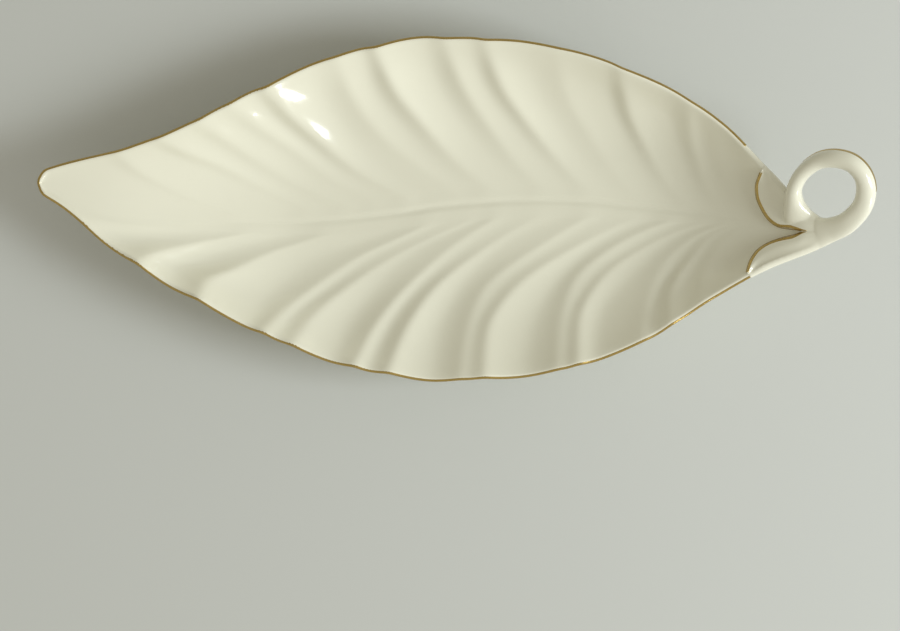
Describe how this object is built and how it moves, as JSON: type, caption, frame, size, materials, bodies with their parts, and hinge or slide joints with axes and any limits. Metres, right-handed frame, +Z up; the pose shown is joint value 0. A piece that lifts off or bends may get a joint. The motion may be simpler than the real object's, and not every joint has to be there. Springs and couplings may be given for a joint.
{
  "type": "leaf shaped dish",
  "caption": "Shallow fluted porcelain dish in the shape of a leaf, on an oval foot ring, with its stem curled up into a finger loop and gold lines on its edges.",
  "frame": {"origin": "centre of the dish's bounding box, at the plane of the foot ring's bottom", "axes": "+X along the leaf from its tip to the finger loop, +Y across it towards the edge that the loop leans to, +Z up"},
  "size_m": [0.248, 0.1034, 0.0429],
  "materials": {
    "porcelain": "glossy ivory glaze",
    "gilding": "bright burnished gold line"
  },
  "bodies": {
    "root": {"leaf_dish": "porcelain", "foot_ring": "porcelain", "stem_loop": "porcelain", "upper_lobe": "porcelain", "lower_lobe": "porcelain", "rim_gilding": "gilding", "upper_lobe_gilding": "gilding", "lower_lobe_gilding": "gilding", "loop_gilding": "gilding"}
  },
  "joints": []
}
